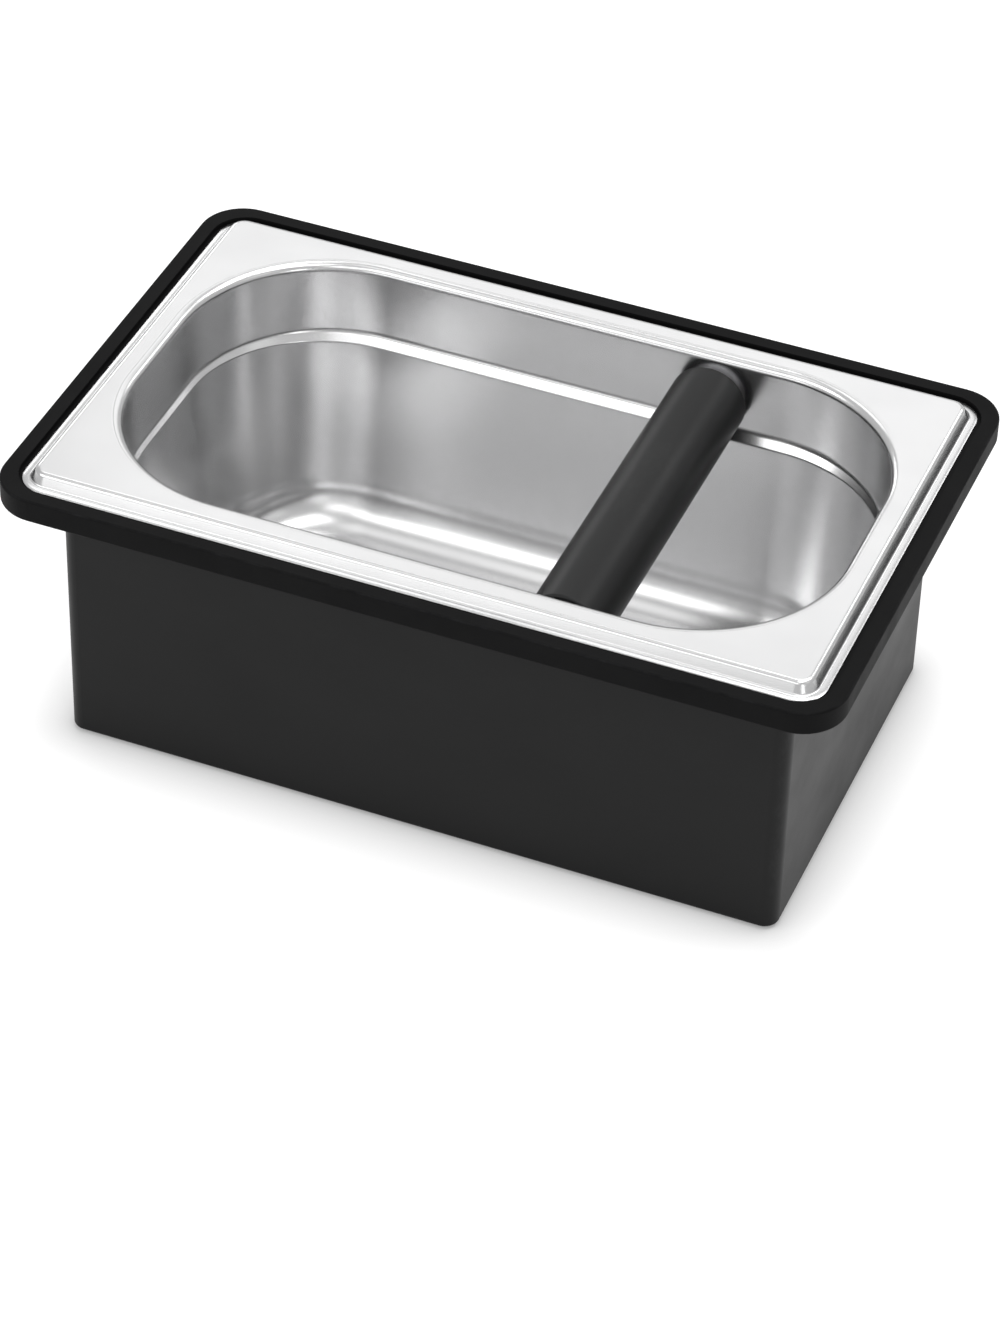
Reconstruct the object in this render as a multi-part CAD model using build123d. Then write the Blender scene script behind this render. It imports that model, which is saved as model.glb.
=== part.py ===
from build123d import *
import math
import os

# Espresso knock box. Millimetres, +Z up. The origin is on the floor, under the middle of the box.
# X runs along the long side with the knock bar towards +X, and the front is -Y.

# Pan: drawn from one sheet, with a flat outer lip, a raised rim and a shouldered bowl.
pan_length = 265.0
pan_width = 162.0
pan_corner = 9.0
pan_depth = 100.0
sheet = 0.7
lip_width = 2.5
rim_inset = 4.6
rim_rise = 3.8
rim_round = 2.4
rim_reach_ends = 13.1
rim_reach_sides = 13.5
bowl_corner = 50.0
bowl_edge_round = 3.0
shoulder_drop = 26.4
shoulder_lean = 42.0
shoulder_step_ends = 1.7
shoulder_step_sides = 2.6
shoulder_top_round = 3.0
shoulder_foot_round = 1.4
bowl_taper = 4.5
bowl_bottom_round = 18.0

# Rim ring: a soft ring pushed over the lip of the case, with a shallow recess for the pan's lip.
lip_gap_ends = 1.8
lip_gap_sides = 1.5
lip_gap_corner = 3.2
lip_below_ring = 0.9
ring_margin = 5.2
ring_depth = 8.2
ring_corner = 15.0
ring_edge_round = 0.8
ring_over_lip = 4.2
ring_snug = 0.05

# Case body: a moulded box with a floor, straight walls and a lip turned out at the top.
body_wall = 1.4
body_end_gap = 0.3
body_corner = 5.0
body_floor = 2.0
body_base_round = 1.2
body_floor_round = 1.0
body_lip_cover = 5.3
pan_floor_gap = 4.3

# Knock bar: a rubber sleeve on a steel tube, with a stepped plug in each end.
bar_from_end = 74.0
bar_over_shoulder = 1.4
bar_end_gap = 0.4
sleeve_diameter = 25.5
sleeve_wall = 2.7
sleeve_end_round = 1.0
tube_wall = 1.5
plug_collar_step = 1.0
plug_shank_length = 14.0
plug_hole_spare = 1.7
bar_fit = 0.05

# Low-head socket screws through the pan's walls.
screw_diameter = 5.0
screw_length = 11.0
screw_head_diameter = 11.0
screw_head_height = 1.2
screw_head_round = 0.4
screw_head_gap = 0.6
screw_hole_gap = 0.15
socket_across_flats = 3.0
socket_depth = 2.2

# Feet: thin round pads let into pockets under the floor.
foot_diameter = 14.0
foot_stand = 0.6
foot_pocket_depth = 1.0
foot_pocket_gap = 0.1
foot_inset = 19.0
foot_edge_round = 0.3

overrun = 1.0
edge_reach = 0.001

# Lengths and widths that follow from the sizes.
bowl_length = pan_length - 2 * rim_reach_ends
bowl_width = pan_width - 2 * rim_reach_sides
basin_length = bowl_length - 2 * shoulder_step_ends
basin_width = bowl_width - 2 * shoulder_step_sides
basin_corner = bowl_corner - (shoulder_step_ends + shoulder_step_sides) / 2
wall_inside = bowl_width / 2
wall_outside = wall_inside + sheet
opening_length = bowl_length + 2 * (sheet + body_end_gap)
opening_width = 2 * (wall_outside + screw_head_height + screw_head_gap)
body_length = opening_length + 2 * body_wall
body_width = opening_width + 2 * body_wall
recess_length = pan_length + 2 * lip_gap_ends
recess_width = pan_width + 2 * lip_gap_sides
recess_corner = pan_corner + lip_gap_corner
ring_length = recess_length + 2 * ring_margin
ring_width = recess_width + 2 * ring_margin
body_lip_length = ring_length - 2 * body_lip_cover
body_lip_width = ring_width - 2 * body_lip_cover
body_lip_corner = ring_corner - body_lip_cover

# Levels that follow from the sizes.
well_bottom = foot_stand + body_floor
pan_underside = well_bottom + pan_floor_gap
bowl_floor = pan_underside + sheet
rim_top = pan_underside + pan_depth
rim_underside = rim_top - sheet
lip_top = rim_top - rim_rise
lip_underside = lip_top - sheet
case_height = lip_top + lip_below_ring
ring_bottom = case_height - ring_depth
body_lip_top = case_height - ring_over_lip
body_lip_bottom = body_lip_top - body_wall
shoulder_top = rim_top - shoulder_drop
slope_rate = math.tan(math.radians(shoulder_lean))
taper_rate = math.tan(math.radians(bowl_taper))
shoulder_height = shoulder_step_sides / (slope_rate - taper_rate)
shoulder_foot = shoulder_top - shoulder_height

# The knock bar's place and diameters.
bar_from_middle = bowl_length / 2 - bar_from_end
bar_height = shoulder_foot + bar_over_shoulder + sleeve_diameter / 2
bar_end = wall_inside - shoulder_step_sides - bar_end_gap
sleeve_bore = sleeve_diameter - 2 * sleeve_wall
tube_diameter = sleeve_bore - 2 * bar_fit
tube_bore = tube_diameter - 2 * tube_wall


def outline(length, width, corner, height):
    return Pos(0, 0, height) * RectangleRounded(length, width, corner)


def prism(length, width, corner, bottom, top):
    return extrude(outline(length, width, corner, bottom), top - bottom)


def stack(length, width, corner, levels):
    # Walls of a drawn form. Each level is its inset from the outline and its height.
    form = Part()
    for (inset, height), (next_inset, next_height) in zip(levels, levels[1:]):
        rise = next_height - height
        lean = math.degrees(math.atan2(next_inset - inset, abs(rise)))
        section = outline(length - 2 * inset, width - 2 * inset, corner - inset, height)
        form += extrude(section, rise, taper=lean)
    return form


def offset_levels(levels, thickness):
    # The same run of levels moved square to itself, to the right of its direction.
    normals = []
    for (inset, height), (next_inset, next_height) in zip(levels, levels[1:]):
        run = Vector(next_inset - inset, next_height - height)
        normals.append(Vector(run.Y, -run.X).normalized())
    shifts = [normals[0]]
    for before, after in zip(normals, normals[1:]):
        both = before + after
        shifts.append(both * (2 / both.length ** 2))
    shifts.append(normals[-1])
    return [
        (inset + shift.X * thickness, height + shift.Y * thickness)
        for (inset, height), shift in zip(levels, shifts)
    ]


def edges_at(form, height):
    return form.edges().filter_by_position(Axis.Z, height - edge_reach, height + edge_reach)


def bowl_edges_at(form, height):
    # Edges at one height that belong to the bowl and not to the rim round it.
    def within(edge):
        centre = edge.center()
        return abs(centre.X) < bowl_length / 2 + overrun and abs(centre.Y) < wall_inside + overrun

    return edges_at(form, height).filter_by(within)


def make_rim():
    top = [(0, lip_top), (lip_width, lip_top), (rim_inset, rim_top), (rim_inset + overrun, rim_top)]
    under = offset_levels(top, sheet)
    rim = prism(pan_length, pan_width, pan_corner, lip_underside, lip_top)
    rim += stack(pan_length, pan_width, pan_corner, top[1:3])
    rim = fillet(edges_at(rim, rim_top), rim_round)
    below = (under[1][0], lip_underside - overrun)
    hollow = stack(pan_length, pan_width, pan_corner, [below, under[1], under[2]])
    hollow = fillet(edges_at(hollow, rim_underside), rim_round - sheet)
    return rim - hollow


def sloped(top, bottom, rate):
    # The levels of a wall that comes in at this rate from one height to another.
    return [(0, top), ((top - bottom) * rate, bottom)]


def bowl_form(skin, top_round, foot_round, bottom_round):
    # The inside of the bowl, or its outside where skin is the sheet. The upright upper bowl ends in
    # a slope all round. The basin under it is narrower by more at the sides than at the ends, so
    # the slope's foot lies higher at the ends.
    slope_height = (max(shoulder_step_ends, shoulder_step_sides) + overrun) / (slope_rate - taper_rate)
    upper = offset_levels(
        [(0, rim_top)] + sloped(shoulder_top, shoulder_top - slope_height, slope_rate), skin
    )
    wall = sloped(shoulder_top, bowl_floor, taper_rate)
    lower = offset_levels(wall + [(wall[1][0] + overrun, bowl_floor)], skin)[:2]
    form = stack(bowl_length, bowl_width, bowl_corner, upper)
    form += stack(basin_length, basin_width, basin_corner, lower)
    form = fillet(edges_at(form, lower[1][1]), bottom_round)
    foot = form.edges().filter_by_position(Axis.Z, upper[2][1], upper[1][1] - edge_reach)
    form = fillet(foot.filter_by(lambda edge: edge.length > 2 * slope_height), foot_round)
    return fillet(edges_at(form, upper[1][1]), top_round)


def make_pan():
    shell = bowl_form(
        sheet, shoulder_top_round + sheet, shoulder_foot_round - sheet, bowl_bottom_round + sheet
    )
    hollow = bowl_form(0, shoulder_top_round, shoulder_foot_round, bowl_bottom_round)
    pan = make_rim() + shell
    pan = fillet(bowl_edges_at(pan, rim_underside), bowl_edge_round - sheet)
    pan -= hollow
    pan = fillet(bowl_edges_at(pan, rim_top), bowl_edge_round)
    hole = rod(screw_diameter + 2 * screw_hole_gap, -wall_outside - overrun, wall_outside + overrun)
    return pan - hole


def case_opening(bottom, top):
    return prism(opening_length, opening_width, body_corner - body_wall, bottom, top)


def make_case_body():
    body = prism(body_length, body_width, body_corner, foot_stand, body_lip_top)
    body = fillet(edges_at(body, foot_stand), body_base_round)
    body += prism(body_lip_length, body_lip_width, body_lip_corner, body_lip_bottom, body_lip_top)
    well = case_opening(well_bottom, body_lip_top + overrun)
    body -= fillet(edges_at(well, well_bottom), body_floor_round)
    for place in foot_places():
        pocket = Pos(*place, foot_stand) * Cylinder(
            foot_diameter / 2 + foot_pocket_gap, 2 * foot_pocket_depth
        )
        body -= pocket
    return body


def make_rim_ring():
    ring = prism(ring_length, ring_width, ring_corner, ring_bottom, case_height)
    ring = fillet(edges_at(ring, ring_bottom) + edges_at(ring, case_height), ring_edge_round)
    ring -= prism(recess_length, recess_width, recess_corner, lip_underside, case_height + overrun)
    ring -= case_opening(ring_bottom - overrun, case_height)
    ring -= prism(
        body_length + 2 * ring_snug,
        body_width + 2 * ring_snug,
        body_corner + ring_snug,
        ring_bottom - overrun,
        body_lip_top,
    )
    ring -= prism(
        body_lip_length + 2 * ring_snug,
        body_lip_width + 2 * ring_snug,
        body_lip_corner + ring_snug,
        body_lip_bottom,
        body_lip_top,
    )
    return ring


def across(front):
    # A plane square to the bar, at this distance along Y.
    return Plane(origin=(bar_from_middle, front, bar_height), x_dir=(1, 0, 0), z_dir=(0, 1, 0))


def rod(diameter, front, back):
    return extrude(across(front) * Circle(diameter / 2), back - front)


def make_sleeve():
    sleeve = rod(sleeve_diameter, -bar_end, bar_end)
    sleeve = fillet(sleeve.edges().filter_by(GeomType.CIRCLE), sleeve_end_round)
    return sleeve - rod(sleeve_bore, -bar_end, bar_end)


def make_tube():
    return rod(tube_diameter, -bar_end, bar_end) - rod(tube_bore, -bar_end, bar_end)


def make_plug():
    # The plug at the front. The back one is its mirror image.
    collar = rod(tube_diameter - 2 * plug_collar_step, -wall_inside, -bar_end)
    shank = rod(tube_bore - 2 * bar_fit, -bar_end, -bar_end + plug_shank_length)
    hole_end = -wall_outside + screw_length + plug_hole_spare
    hole = rod(screw_diameter + 2 * bar_fit, -wall_inside, hole_end)
    return collar + shank - hole


def make_screw():
    head_face = -wall_outside - screw_head_height
    head = rod(screw_head_diameter, head_face, -wall_outside)
    outer_edge = head.edges().filter_by(GeomType.CIRCLE).sort_by(Axis.Y)[0]
    head = fillet(outer_edge, screw_head_round)
    shank = rod(screw_diameter, -wall_outside, -wall_outside + screw_length)
    socket = RegularPolygon(socket_across_flats / 2, 6, major_radius=False)
    return head + shank - extrude(across(head_face) * socket, socket_depth)


def foot_places():
    reach_x = body_length / 2 - foot_inset
    reach_y = body_width / 2 - foot_inset
    return [(x, y) for y in (-reach_y, reach_y) for x in (-reach_x, reach_x)]


def make_foot(place):
    height = foot_stand + foot_pocket_depth
    foot = Pos(*place, height / 2) * Cylinder(foot_diameter / 2, height)
    return fillet(foot.edges().filter_by(GeomType.CIRCLE).sort_by(Axis.Z)[0], foot_edge_round)


def save(name, shape):
    shape.label = name
    export_step(shape, f"parts/{name}.step")


os.makedirs("parts", exist_ok=True)
save("case_body", make_case_body())
save("rim_ring", make_rim_ring())
save("pan", make_pan())
save("bar_sleeve", make_sleeve())
save("bar_tube", make_tube())
plug = make_plug()
save("bar_plug_front", plug)
save("bar_plug_back", mirror(plug, Plane.XZ))
screw = make_screw()
save("bar_screws", Compound(children=[screw, mirror(screw, Plane.XZ)]))
foot_names = ("foot_front_left", "foot_front_right", "foot_back_left", "foot_back_right")
for name, place in zip(foot_names, foot_places()):
    save(name, make_foot(place))
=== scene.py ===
import bpy
import bmesh
import math
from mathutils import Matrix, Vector


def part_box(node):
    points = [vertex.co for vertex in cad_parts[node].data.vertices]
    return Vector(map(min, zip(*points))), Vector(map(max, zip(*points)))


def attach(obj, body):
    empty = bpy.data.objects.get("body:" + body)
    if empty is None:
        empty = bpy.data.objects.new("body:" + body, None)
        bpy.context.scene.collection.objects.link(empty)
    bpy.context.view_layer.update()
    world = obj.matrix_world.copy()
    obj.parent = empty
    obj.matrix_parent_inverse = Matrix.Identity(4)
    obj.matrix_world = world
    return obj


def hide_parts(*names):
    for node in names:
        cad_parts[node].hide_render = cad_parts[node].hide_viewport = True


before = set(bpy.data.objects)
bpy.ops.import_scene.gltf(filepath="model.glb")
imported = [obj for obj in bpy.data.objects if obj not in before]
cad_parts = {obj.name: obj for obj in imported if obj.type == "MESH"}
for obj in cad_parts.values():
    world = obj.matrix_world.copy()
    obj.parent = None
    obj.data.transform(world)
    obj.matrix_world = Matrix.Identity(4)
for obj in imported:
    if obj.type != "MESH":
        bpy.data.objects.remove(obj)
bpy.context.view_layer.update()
mm = 0.001
noiseReach = 0.3        # noise about 0 seldom strays further than this
print("frame loaded")


# Shader node helpers

def newMaterial(name, baseColor, metallic=0.0, specular=0.5):
    material = bpy.data.materials.new(name)
    material.use_nodes = True
    shader = material.node_tree.nodes["Principled BSDF"]
    shader.inputs["Base Color"].default_value = (*baseColor, 1)
    shader.inputs["Metallic"].default_value = metallic
    shader.inputs["Specular IOR Level"].default_value = specular
    return material


def addNode(material, kind, values=None, **settings):
    node = material.node_tree.nodes.new(kind)
    for name, setting in settings.items():
        setattr(node, name, setting)
    for name, value in (values or {}).items():
        plug(material, value, node.inputs[name])
    return node


def plug(material, value, socket):
    # A value is another node's output, or a plain number or color
    if isinstance(value, bpy.types.NodeSocket):
        material.node_tree.links.new(value, socket)
    else:
        socket.default_value = value


def shaderInput(material, name, value):
    plug(material, value, material.node_tree.nodes["Principled BSDF"].inputs[name])


def calc(material, operation, *values):
    return addNode(material, "ShaderNodeMath", dict(enumerate(values)), operation=operation).outputs[0]


def total(material, value, *others):
    for other in others:
        value = calc(material, "ADD", value, other)
    return value


def weigh(material, value, *amounts):
    for amount in amounts:
        value = calc(material, "MULTIPLY", value, amount)
    return value


def ramp(material, value, low, high, atLow=0.0, atHigh=1.0, kind="SMOOTHSTEP"):
    values = {"Value": value, "From Min": low, "From Max": high, "To Min": atLow, "To Max": atHigh}
    return addNode(material, "ShaderNodeMapRange", values, interpolation_type=kind).outputs[0]


def line(material, value, place, halfWidth):
    # 1 on the line where the value has this place, fading to 0 on both sides
    away = calc(material, "ABSOLUTE", calc(material, "SUBTRACT", value, place))
    return ramp(material, away, 0.0, halfWidth, 1.0, 0.0)


def grain(material, cells, detail=2.0, roughness=0.5, seed=0.0):
    # Noise about 0, with this many cells a metre along each axis
    place = addNode(material, "ShaderNodeTexCoord").outputs["Object"]
    spread = addNode(material, "ShaderNodeMapping", {"Vector": place, "Scale": cells})
    spread.inputs["Location"].default_value = (seed, seed * 1.7, seed * 0.6)
    values = {"Vector": spread.outputs[0], "Scale": 1.0, "Detail": detail, "Roughness": roughness}
    noise = addNode(material, "ShaderNodeTexNoise", values)
    return calc(material, "SUBTRACT", noise.outputs["Fac"], 0.5)


def relief(material, depth, **noise):
    return weigh(material, grain(material, **noise), depth)


def bump(material, *heights):
    # The heights are in metres
    values = {"Height": total(material, *heights), "Strength": 1.0, "Distance": 1.0}
    shaderInput(material, "Normal", addNode(material, "ShaderNodeBump", values).outputs[0])


def unevenRoughness(material, noise, smooth, rough):
    values = ramp(material, noise, -noiseReach, noiseReach, smooth, rough, "LINEAR")
    shaderInput(material, "Roughness", values)


def wearAndSheenColor(material, paleShare, fresh, paleTone):
    # The color turns paler where the mask is set: wear, and on the case and ring edges also a painted
    # highlight
    values = {0: paleShare, 6: (*fresh, 1), 7: (*paleTone, 1)}
    mixed = addNode(material, "ShaderNodeMix", values, data_type="RGBA").outputs[2]
    shaderInput(material, "Base Color", mixed)


def patches(material, low, **noise):
    return ramp(material, grain(material, **noise), low, noiseReach)


def axes(material):
    place = addNode(material, "ShaderNodeTexCoord").outputs["Object"]
    return addNode(material, "ShaderNodeSeparateXYZ", {"Vector": place}).outputs


def fromMiddle(material, axis):
    return calc(material, "ABSOLUTE", axes(material)[axis])


def upness(material):
    # 0 on a wall and 1 on a level face
    normal = addNode(material, "ShaderNodeNewGeometry").outputs["Normal"]
    parts = addNode(material, "ShaderNodeSeparateXYZ", {"Vector": normal}).outputs
    return calc(material, "ABSOLUTE", parts["Z"])


def pastStraight(material, halfLength, halfWidth, corner):
    # How far a point lies past the straight stretches of a rectangle with round corners
    alongX = calc(material, "SUBTRACT", fromMiddle(material, "X"), halfLength - corner)
    alongY = calc(material, "SUBTRACT", fromMiddle(material, "Y"), halfWidth - corner)
    return alongX, alongY


def outlineDistance(material, halfLength, halfWidth, corner):
    # Distance outside a rectangle with round corners, seen from above, negative inside it
    alongX, alongY = pastStraight(material, halfLength, halfWidth, corner)
    squareX = calc(material, "POWER", calc(material, "MAXIMUM", alongX, 0.0), 2.0)
    squareY = calc(material, "POWER", calc(material, "MAXIMUM", alongY, 0.0), 2.0)
    outside = calc(material, "SQRT", calc(material, "ADD", squareX, squareY))
    inside = calc(material, "MINIMUM", calc(material, "MAXIMUM", alongX, alongY), 0.0)
    return calc(material, "SUBTRACT", calc(material, "ADD", outside, inside), corner)


def turnedAbout(material, centerX, centerZ):
    # Distance from an axis that runs along Y
    place = axes(material)
    squareX = calc(material, "POWER", calc(material, "SUBTRACT", place["X"], centerX), 2.0)
    squareZ = calc(material, "POWER", calc(material, "SUBTRACT", place["Z"], centerZ), 2.0)
    return calc(material, "SQRT", calc(material, "ADD", squareX, squareZ))


def dress(nodeName, material):
    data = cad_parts[nodeName].data
    data.materials.clear()
    data.materials.append(material)


# Mesh helpers

heightSlack = 0.01 * mm
outlineSlack = 0.05 * mm


def outlineOffset(place, halfLength, halfWidth, corner):
    # As outlineDistance, for one point
    alongX = abs(place.x) - halfLength + corner
    alongY = abs(place.y) - halfWidth + corner
    return math.hypot(max(alongX, 0), max(alongY, 0)) + min(max(alongX, alongY), 0) - corner


def loopAt(mesh, height, *outline):
    # The edges that run along an outline at one height
    def onLoop(vert):
        return abs(vert.co.z - height) < heightSlack and abs(outlineOffset(vert.co, *outline)) < outlineSlack

    return [edge for edge in mesh.edges if all(onLoop(vert) for vert in edge.verts)]


def outlineFace(mesh, halfLength, halfWidth, corner, height, segments):
    # A level face with round corners
    made = bmesh.ops.create_grid(mesh, x_segments=1, y_segments=1, size=1)
    bmesh.ops.scale(mesh, verts=made["verts"], vec=(halfLength, halfWidth, 1))
    bmesh.ops.translate(mesh, verts=made["verts"], vec=(0, 0, height))
    before = set(mesh.faces) - set(made["verts"][0].link_faces)
    bmesh.ops.bevel(
        mesh, geom=made["verts"], affect="VERTICES", offset=corner, offset_type="OFFSET",
        segments=segments, profile=0.5, material=-1,
    )
    return [face for face in mesh.faces if face not in before][0]


def inset(mesh, face, thickness, depth):
    bmesh.ops.inset_region(
        mesh, faces=[face], thickness=thickness, depth=depth, use_even_offset=True, use_boundary=True,
    )


def roundOff(mesh, edges, radius, turn, segments):
    # Rounds edges where the surface turns by this many degrees
    reach = radius * math.tan(math.radians(turn) / 2)
    bmesh.ops.bevel(
        mesh, geom=edges, affect="EDGES", offset=reach, offset_type="OFFSET",
        segments=segments, profile=0.5, material=-1, clamp_overlap=True,
    )


# Drawn stainless pan

panLow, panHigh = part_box("pan")
pan = {
    "corner": 9 * mm,
    "cornerSegments": 24,
    "sheet": 0.7 * mm,
    "lipWidth": 2.5 * mm,
    "rimInset": 4.6 * mm,
    "rimRise": 3.8 * mm,
    "rimRound": 2.0 * mm,
    "rimSegments": 12,
    "creaseRound": 0.9 * mm,
    "creaseSegments": 3,
    "reachEnds": 13.1 * mm,
    "reachSides": 13.5 * mm,
    "bowlCorner": 50 * mm,
    "bowlRound": 3 * mm,
    "bowlSegments": 14,
    "shoulderDrop": 26.4 * mm,
    "shoulderLean": 42,
    "stepEnds": 1.7 * mm,
    "stepSides": 2.6 * mm,
    "shoulderTopRound": 3 * mm,
    "shoulderTopSegments": 6,
    "shoulderFootRound": 1.4 * mm,
    "shoulderFootSegments": 5,
    "taper": 4.5,
    "bottomRound": 18 * mm,
    "bottomSegments": 12,
}
panHalfLength = panHigh.x
panHalfWidth = panHigh.y
panTop = panHigh.z
bowlHalfLength = panHalfLength - pan["reachEnds"]
bowlHalfWidth = panHalfWidth - pan["reachSides"]

panFinish = {
    "color": (0.71, 0.71, 0.713),
    "roughness": (0.21, 0.27),
    "smears": {"cells": (45, 70, 45), "detail": 4, "seed": 9},
    "drawnLines": {"depth": 0.0016 * mm, "cells": (1500, 1500, 14), "detail": 4, "roughness": 0.6},
    "rolledLines": {
        "depth": 0.0016 * mm, "cells": (12, 1400, 1400), "detail": 4, "roughness": 0.6, "seed": 3,
    },
    "waves": {"depth": 0.08 * mm, "cells": (30, 30, 5), "detail": 1, "seed": 7},
    "sparkle": {"depth": 0.004 * mm, "cells": (1100, 1100, 420), "seed": 5},
    "stretchedShare": 1.1,        # of the bowl's corner radius
    "creaseDepth": 0.02 * mm,
    "creaseWidth": 0.35 * mm,
}


def makePanSteel():
    look = panFinish
    material = newMaterial("panSteel", look["color"], metallic=1)
    level = upness(material)
    onWall = calc(material, "SUBTRACT", 1.0, level)
    bowlDistance = outlineDistance(material, bowlHalfLength, bowlHalfWidth, pan["bowlCorner"])
    crease = line(material, bowlDistance, pan["bowlRound"] + look["creaseWidth"], look["creaseWidth"])

    # The sheet is stretched, and so rougher, in the bowl's corners
    reach = look["stretchedShare"] * pan["bowlCorner"]
    pastX = ramp(material, fromMiddle(material, "X"), bowlHalfLength - reach, bowlHalfLength)
    pastY = ramp(material, fromMiddle(material, "Y"), bowlHalfWidth - reach, bowlHalfWidth)
    bump(
        material,
        weigh(material, relief(material, **look["drawnLines"]), onWall),
        weigh(material, relief(material, **look["rolledLines"]), level),
        weigh(material, relief(material, **look["sparkle"]), pastX, pastY, onWall),
        weigh(material, relief(material, **look["waves"]), onWall),
        weigh(material, crease, -look["creaseDepth"]),
    )
    unevenRoughness(material, grain(material, **look["smears"]), *look["roughness"])
    return material


def makePan(steel):
    mesh = bmesh.new()
    lip = panTop - pan["rimRise"]
    rim = outlineFace(mesh, panHalfLength, panHalfWidth, pan["corner"], lip, pan["cornerSegments"])
    inset(mesh, rim, pan["lipWidth"], 0)
    inset(mesh, rim, pan["rimInset"] - pan["lipWidth"], pan["rimRise"])
    bmesh.ops.delete(mesh, geom=[rim], context="FACES_ONLY")

    bowl = outlineFace(mesh, bowlHalfLength, bowlHalfWidth, pan["bowlCorner"], panTop, pan["cornerSegments"])
    inset(mesh, bowl, 0, -pan["shoulderDrop"])
    shoulderTop = panTop - pan["shoulderDrop"]

    # The floor comes in further at the sides than at the ends
    floorHeight = panLow.z + pan["sheet"]
    drop = shoulderTop - floorHeight
    taperRate = math.tan(math.radians(pan["taper"]))
    slopeRate = math.tan(math.radians(pan["shoulderLean"]))
    sideInset = pan["stepSides"] + drop * taperRate
    endInset = pan["stepEnds"] + drop * taperRate
    inset(mesh, bowl, sideInset, -drop)
    stretch = (bowlHalfLength - endInset) / (bowlHalfLength - sideInset)
    bmesh.ops.scale(mesh, verts=bowl.verts, vec=(stretch, 1, 1))

    # A loop across the wall, at the foot of the shoulder's slope
    floorVerts = set(bowl.verts)
    wallEdges = [e for v in floorVerts for e in v.link_edges if e.other_vert(v) not in floorVerts]
    cut = bmesh.ops.subdivide_edges(mesh, edges=wallEdges, cuts=1)
    footVerts = [item for item in cut["geom_inner"] if isinstance(item, bmesh.types.BMVert)]
    for foot in footVerts:
        ends = [e.other_vert(foot) for e in foot.link_edges if e.other_vert(foot) not in footVerts]
        top, bottom = sorted(ends, key=lambda vert: -vert.co.z)
        inward = bottom.co.xy - top.co.xy
        depth = (inward.length - drop * taperRate) / (slopeRate - taperRate)
        foot.co.xy = top.co.xy + inward.normalized() * depth * slopeRate
        foot.co.z = top.co.z - depth

    plateauOutline = [size - pan["rimInset"] for size in (panHalfLength, panHalfWidth, pan["corner"])]
    lipOutline = [size - pan["lipWidth"] for size in (panHalfLength, panHalfWidth, pan["corner"])]
    bowlOutline = (bowlHalfLength, bowlHalfWidth, pan["bowlCorner"])
    bmesh.ops.bridge_loops(
        mesh, edges=loopAt(mesh, panTop, *plateauOutline) + loopAt(mesh, panTop, *bowlOutline),
    )
    lean = pan["shoulderLean"]
    rimTurn = math.degrees(math.atan2(pan["rimRise"], pan["rimInset"] - pan["lipWidth"]))
    roundOff(mesh, bowl.edges, pan["bottomRound"], 90 - pan["taper"], pan["bottomSegments"])
    footEdges = [e for e in mesh.edges if all(vert in footVerts for vert in e.verts)]
    roundOff(mesh, footEdges, pan["shoulderFootRound"], lean - pan["taper"], pan["shoulderFootSegments"])
    shoulderEdges = loopAt(mesh, shoulderTop, *bowlOutline)
    roundOff(mesh, shoulderEdges, pan["shoulderTopRound"], lean, pan["shoulderTopSegments"])
    roundOff(mesh, loopAt(mesh, panTop, *bowlOutline), pan["bowlRound"], 90, pan["bowlSegments"])
    roundOff(mesh, loopAt(mesh, panTop, *plateauOutline), pan["rimRound"], rimTurn, pan["rimSegments"])
    roundOff(mesh, loopAt(mesh, lip, *lipOutline), pan["creaseRound"], rimTurn, pan["creaseSegments"])
    bmesh.ops.recalc_face_normals(mesh, faces=mesh.faces)
    if max(mesh.faces, key=lambda face: face.calc_area()).normal.z < 0:
        bmesh.ops.reverse_faces(mesh, faces=mesh.faces)

    data = bpy.data.meshes.new("drawn_pan")
    mesh.to_mesh(data)
    mesh.free()
    data.shade_smooth()
    data.materials.append(steel)
    piece = bpy.data.objects.new("drawn_pan", data)
    bpy.context.collection.objects.link(piece)
    sheet = piece.modifiers.new("sheet", "SOLIDIFY")
    sheet.thickness = pan["sheet"]
    sheet.offset = -1        # the sheet lies behind the modelled side
    sheet.use_even_offset = True
    evenShading = piece.modifiers.new("evenShading", "WEIGHTED_NORMAL")
    evenShading.weight = 100        # flat faces keep their own normals next to narrow rounds
    evenShading.keep_sharp = True
    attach(piece, "pan")
    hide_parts("pan")


print("pan")
panSteel = makePanSteel()
makePan(panSteel)

# Moulded case

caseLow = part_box("case_body")[0]
caseFinish = {
    "color": (0.006, 0.006, 0.0062),
    # paler tone of the painted edge highlight and of the wear
    "paleColor": (0.024, 0.024, 0.025),
    "roughness": (0.38, 0.50),
    "specular": 0.185,
    "handled": {"cells": (26, 26, 40), "detail": 4, "roughness": 0.6, "seed": 8},
    "moulded": {"depth": 0.0030 * mm, "cells": (2600, 2600, 2600), "seed": 2},
    "sunken": {"depth": 0.06 * mm, "cells": (14, 14, 22), "detail": 1, "seed": 4},
    "scuffs": {"depth": 0.0012 * mm, "cells": (900, 900, 60), "detail": 3, "roughness": 0.7, "seed": 6},
    "rubs": {"low": -0.12, "cells": (160, 160, 70), "detail": 4, "roughness": 0.7, "seed": 10},
    "outline": (121.8 * mm, 71.4 * mm, 5 * mm),        # half length, half width and corner of its walls
    "sheenAndWearShares": (0.2, 0.7),        # of the corner, where its painted highlight and wear start and are full
    # height of the paler bottom band: a painted highlight of the bottom edge, with wear
    "paleBandHeight": 2.2 * mm,
}


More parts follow.
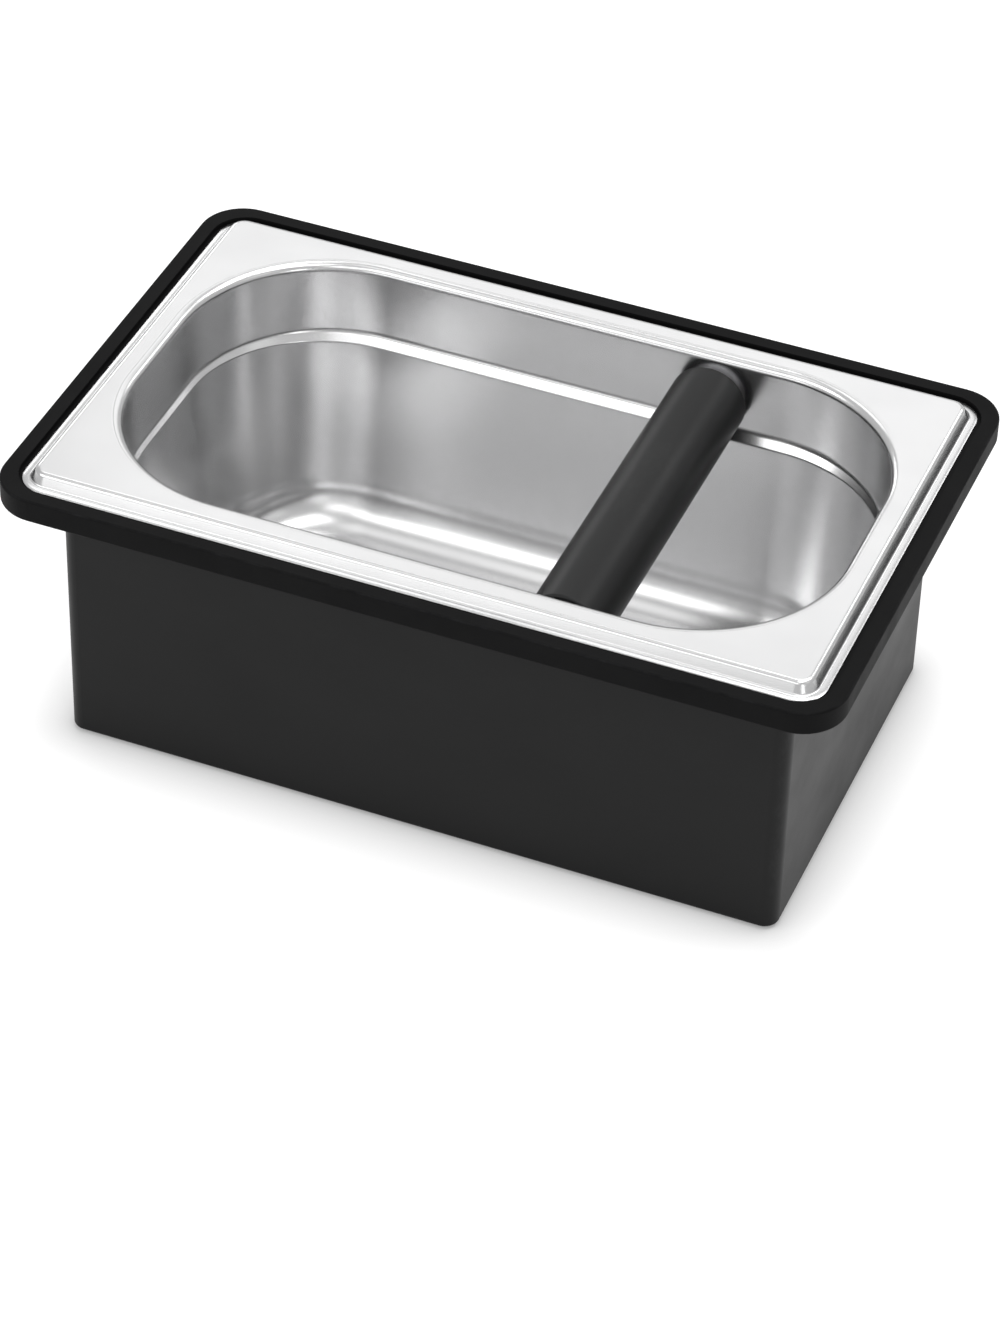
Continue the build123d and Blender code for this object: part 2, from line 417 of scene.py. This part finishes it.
def makeCasePlastic():
    look = caseFinish
    material = newMaterial("casePlastic", look["color"], specular=look["specular"])
    bump(
        material,
        relief(material, **look["moulded"]),
        relief(material, **look["sunken"]),
        relief(material, **look["scuffs"]),
    )
    unevenRoughness(material, grain(material, **look["handled"]), *look["roughness"])

    # The bottom edge and the upright corners are painted paler: a painted highlight along their rounding,
    # broken into patches like wear
    wearFrom, wearTo = [share * look["outline"][2] for share in look["sheenAndWearShares"]]
    intoCorner = calc(material, "MINIMUM", *pastStraight(material, *look["outline"]))
    onCorner = ramp(material, intoCorner, wearFrom, wearTo)
    onFoot = ramp(material, axes(material)["Z"], caseLow.z, caseLow.z + look["paleBandHeight"], 1.0, 0.0)
    paleShare = weigh(material, calc(material, "MAXIMUM", onCorner, onFoot), patches(material, **look["rubs"]))
    wearAndSheenColor(material, paleShare, look["color"], look["paleColor"])
    return material


# Soft rim ring

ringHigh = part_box("rim_ring")[1]
ringFinish = {
    "color": (0.0045, 0.0045, 0.0047),
    # paler tone of the painted highlight on the upper outer edge and of the wear
    "paleColor": (0.018, 0.018, 0.019),
    "roughness": (0.52, 0.68),
    "specular": 0.08,
    "dusty": {"cells": (55, 55, 55), "detail": 5, "roughness": 0.65, "seed": 16},
    "matte": {"depth": 0.006 * mm, "cells": (1900, 1900, 1900), "detail": 3, "roughness": 0.6, "seed": 12},
    "soft": {"depth": 0.05 * mm, "cells": (40, 40, 40), "seed": 14},
    "rubs": {"low": -0.15, "cells": (120, 120, 120), "detail": 4, "roughness": 0.7, "seed": 18},
    "corner": 15 * mm,
    # width of the paler edge band, painted highlight and wear
    "sheenAndWearWidth": 0.9 * mm,
}


def makeRingRubber():
    look = ringFinish
    material = newMaterial("ringRubber", look["color"], specular=look["specular"])
    bump(material, relief(material, **look["matte"]), relief(material, **look["soft"]))
    unevenRoughness(material, grain(material, **look["dusty"]), *look["roughness"])

    # The upper outer edge is painted paler: a painted highlight along it, broken into patches like wear
    inFromSide = calc(material, "ABSOLUTE", outlineDistance(material, ringHigh.x, ringHigh.y, look["corner"]))
    nearSide = ramp(material, inFromSide, 0.0, look["sheenAndWearWidth"], 1.0, 0.0)
    nearTop = ramp(material, axes(material)["Z"], ringHigh.z - look["sheenAndWearWidth"], ringHigh.z)
    paleShare = weigh(material, nearSide, nearTop, patches(material, **look["rubs"]))
    wearAndSheenColor(material, paleShare, look["color"], look["paleColor"])
    return material


# Knock bar

sleeveLow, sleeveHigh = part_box("bar_sleeve")
barX = (sleeveLow.x + sleeveHigh.x) / 2
barZ = (sleeveLow.z + sleeveHigh.z) / 2

sleeveFinish = {
    "color": (0.0045, 0.0045, 0.0047),
    "knockedColor": (0.009, 0.009, 0.009),
    "roughness": (0.36, 0.48),
    "specular": 0.30,
    "smears": {"cells": (60, 25, 60), "detail": 4, "seed": 26},
    "drawnLines": {"depth": 0.0035 * mm, "cells": (1500, 30, 1500), "detail": 3, "seed": 20},
    "matte": {"depth": 0.003 * mm, "cells": (2400, 2400, 2400), "seed": 22},
    "dents": {"depth": 0.05 * mm, "cells": (90, 60, 90), "seed": 24},
    "rubs": {"low": -0.1, "cells": (220, 120, 220), "detail": 4, "roughness": 0.7, "seed": 28},
    "knocked": (11.4 * mm, 38 * mm),        # from the middle, where the knocks thin out and end
}
tubeFinish = {
    "color": (0.6, 0.6, 0.61),
    "roughness": (0.26, 0.36),
    "smears": {"cells": (90, 40, 90), "detail": 4, "seed": 32},
    "drawnLines": {"depth": 0.004 * mm, "cells": (1800, 20, 1800), "detail": 4, "seed": 30},
}
plugFinish = {
    "color": (0.7, 0.7, 0.71),
    "roughness": (0.28, 0.36),
    "smears": {"cells": (180, 180, 180), "detail": 4, "seed": 38},
    "turnCells": 2200,
    "turnDepth": 0.006 * mm,
}
screwFinish = {
    "color": (0.6, 0.6, 0.6),
    "roughness": (0.24, 0.34),
    "smears": {"cells": (180, 180, 180), "detail": 4, "seed": 40},
    "turnCells": 3000,
    "turnDepth": 0.004 * mm,
}


def makeSleeveRubber():
    look = sleeveFinish
    material = newMaterial("sleeveRubber", look["color"], specular=look["specular"])
    onTop = ramp(material, axes(material)["Z"], barZ, sleeveHigh.z)
    knocked = weigh(material, ramp(material, fromMiddle(material, "Y"), *look["knocked"], 1.0, 0.0), onTop)
    bump(
        material,
        relief(material, **look["drawnLines"]),
        relief(material, **look["matte"]),
        weigh(material, relief(material, **look["dents"]), knocked),
    )
    unevenRoughness(material, grain(material, **look["smears"]), *look["roughness"])
    paleShare = weigh(material, knocked, patches(material, **look["rubs"]))
    wearAndSheenColor(material, paleShare, look["color"], look["knockedColor"])
    return material


def makeTubeSteel():
    look = tubeFinish
    material = newMaterial("tubeSteel", look["color"], metallic=1)
    bump(material, relief(material, **look["drawnLines"]))
    unevenRoughness(material, grain(material, **look["smears"]), *look["roughness"])
    return material


def makeTurnedMetal(name, look):
    # Fine turning marks go round the bar's axis
    material = newMaterial(name, look["color"], metallic=1)
    turned = {"X": turnedAbout(material, barX, barZ), "Y": axes(material)["Y"], "Z": look["smears"]["seed"]}
    place = addNode(material, "ShaderNodeCombineXYZ", turned).outputs[0]
    values = {"Vector": place, "Scale": look["turnCells"], "Detail": 3.0, "Roughness": 0.6}
    marks = addNode(material, "ShaderNodeTexNoise", values).outputs["Fac"]
    bump(material, weigh(material, marks, look["turnDepth"]))
    unevenRoughness(material, grain(material, **look["smears"]), *look["roughness"])
    return material


# Feet

footFinish = {
    "color": (0.016, 0.016, 0.0165),
    "paleColor": (0.040, 0.040, 0.041),
    "roughness": (0.55, 0.75),
    "specular": 0.2,
    "dusty": {"cells": (300, 300, 300), "detail": 4, "seed": 36},
    "matte": {"depth": 0.008 * mm, "cells": (1700, 1700, 1700), "detail": 3, "seed": 34},
    "dustReach": 0.2,
    "paleBandHeight": 0.35 * mm,
}


def makeFootRubber():
    look = footFinish
    material = newMaterial("footRubber", look["color"], specular=look["specular"])
    bump(material, relief(material, **look["matte"]))
    dusty = grain(material, **look["dusty"])
    unevenRoughness(material, dusty, *look["roughness"])
    underside = ramp(material, axes(material)["Z"], 0.0, look["paleBandHeight"], 1.0, 0.0)
    paleShare = weigh(material, underside, ramp(material, dusty, -look["dustReach"], look["dustReach"]))
    wearAndSheenColor(material, paleShare, look["color"], look["paleColor"])
    return material


print("case, ring, bar and feet")
plugAluminium = makeTurnedMetal("plugAluminium", plugFinish)
footRubber = makeFootRubber()
dress("pan", panSteel)
dress("case_body", makeCasePlastic())
dress("rim_ring", makeRingRubber())
dress("bar_sleeve", makeSleeveRubber())
dress("bar_tube", makeTubeSteel())
dress("bar_plug_front", plugAluminium)
dress("bar_plug_back", plugAluminium)
dress("bar_screws", makeTurnedMetal("screwSteel", screwFinish))
for footPlace in ("front_left", "front_right", "back_left", "back_right"):
    dress("foot_" + footPlace, footRubber)

# Floor

floorLook = {
    "size": 30,
    "height": -0.05 * mm,        # just under the feet
    "color": (0.5, 0.5, 0.5),
    "roughness": 0.9,
    "glow": 0.22,        # white that the camera and reflections see at the box, held low there as a painted contact shadow
    "paintedShadowDepth": 0.48,        # and as much more past this distance, where the painted contact shadow ends
    "around": 20 * mm,
    "rise": 0.45,
}


def makeFloorWithPaintedShadow():
    look = floorLook
    material = newMaterial("floorWhite", look["color"], specular=0)
    shaderInput(material, "Roughness", look["roughness"])
    rays = addNode(material, "ShaderNodeLightPath").outputs
    seen = calc(material, "MAXIMUM", rays["Is Camera Ray"], rays["Is Glossy Ray"])
    seen = calc(material, "MAXIMUM", seen, rays["Is Transmission Ray"])
    # Painted contact shadow: the white glow is dimmer near the box outline and rises to full over a short
    # reach
    boxDistance = outlineDistance(material, *caseFinish["outline"])
    away = ramp(material, boxDistance, 0.0, look["around"], kind="LINEAR")
    outOfPaintedShadow = calc(material, "POWER", away, look["rise"])
    glow = calc(material, "MULTIPLY_ADD", outOfPaintedShadow, look["paintedShadowDepth"], look["glow"])
    values = {"Color": (1, 1, 1, 1), "Strength": weigh(material, seen, glow)}
    white = addNode(material, "ShaderNodeEmission", values)
    lit = addNode(material, "ShaderNodeAddShader")
    plug(material, material.node_tree.nodes["Principled BSDF"].outputs[0], lit.inputs[0])
    plug(material, white.outputs[0], lit.inputs[1])
    plug(material, lit.outputs[0], material.node_tree.nodes["Material Output"].inputs["Surface"])
    return material


print("floor, lamps and camera")
bpy.ops.mesh.primitive_plane_add(size=floorLook["size"], location=(0, 0, floorLook["height"]))
floor = bpy.context.object
floor.name = "floor"
floor.data.materials.append(makeFloorWithPaintedShadow())

# World

skyLight = {"color": (1, 1, 1, 1), "strength": 0.6}
world = bpy.data.worlds.new("studio")
world.use_nodes = True
world.node_tree.nodes["Background"].inputs["Color"].default_value = skyLight["color"]
world.node_tree.nodes["Background"].inputs["Strength"].default_value = skyLight["strength"]
bpy.context.scene.world = world

# Lamps: azimuth 0 is in front of the box and 90 at its right end

softboxes = {
    "overheadRight": {"azimuth": 60, "elevation": 72, "width": 0.8, "height": 0.42, "strength": 3.0},
    "overheadBack": {"azimuth": 180, "elevation": 72, "width": 0.5, "height": 0.42, "strength": 3.4},
    "overheadLeft": {"azimuth": 300, "elevation": 72, "width": 0.46, "height": 0.42, "strength": 0.7},
    "rightBack": {"azimuth": 131, "elevation": 56, "width": 0.6, "height": 0.5, "strength": 3.1},
    "rightBackLow": {"azimuth": 152, "elevation": 34, "width": 0.4, "height": 0.3, "strength": 2.2},
    "leftBack": {"azimuth": 229, "elevation": 56, "width": 0.48, "height": 0.42, "strength": 1.5},
    "back": {"azimuth": 193, "elevation": 40, "width": 0.95, "height": 0.42, "strength": 0.8},
    "backLow": {"azimuth": 225, "elevation": 20, "width": 0.5, "height": 0.3, "strength": 2.4},
    "right": {"azimuth": 77, "elevation": 40, "width": 0.5, "height": 0.42, "strength": 0.35},
    "left": {"azimuth": 308, "elevation": 40, "width": 0.35, "height": 0.5, "strength": 3.4},
    "frontKey": {"azimuth": 333, "elevation": 44, "width": 0.6, "height": 0.5, "strength": 2.0},
    "front": {"azimuth": 6, "elevation": 43, "width": 0.45, "height": 0.42, "strength": 1.7},
    "frontLow": {"azimuth": 341, "elevation": 15, "width": 0.6, "height": 0.3, "strength": 1.4},
    "rightLow": {"azimuth": 42, "elevation": 17, "width": 0.3, "height": 0.3, "strength": 3.0},
}
lampDistance = 1.5
lampTarget = Vector((0, 0, 0.08))


def addSoftbox(name, azimuth, elevation, width, height, strength):
    data = bpy.data.lights.new(name, "AREA")
    data.shape = "RECTANGLE"
    data.size = width
    data.size_y = height
    data.energy = math.pi * width * height * strength        # strength is the brightness of its face
    lamp = bpy.data.objects.new(name, data)
    around = math.radians(azimuth)
    up = math.radians(elevation)
    lamp.location = lampDistance * Vector(
        (math.sin(around) * math.cos(up), -math.cos(around) * math.cos(up), math.sin(up))
    )
    lamp.rotation_euler = (lampTarget - lamp.location).to_track_quat("-Z", "Y").to_euler()
    bpy.context.collection.objects.link(lamp)


for lampName, softbox in softboxes.items():
    addSoftbox(lampName, **softbox)

# Camera

cameraSetup = {
    "place": (0.417583, -1.080207, 0.975665),
    "angles": (50.2397, -1.3316, 22.2253),
    "lens": 124.017,
    "sensor": 36,
}
cameraData = bpy.data.cameras.new("camera")
cameraData.lens = cameraSetup["lens"]
cameraData.sensor_width = cameraSetup["sensor"]
camera = bpy.data.objects.new("camera", cameraData)
camera.location = cameraSetup["place"]
camera.rotation_euler = [math.radians(angle) for angle in cameraSetup["angles"]]
bpy.context.collection.objects.link(camera)
bpy.context.scene.camera = camera
bpy.context.scene.view_settings.view_transform = "Standard"
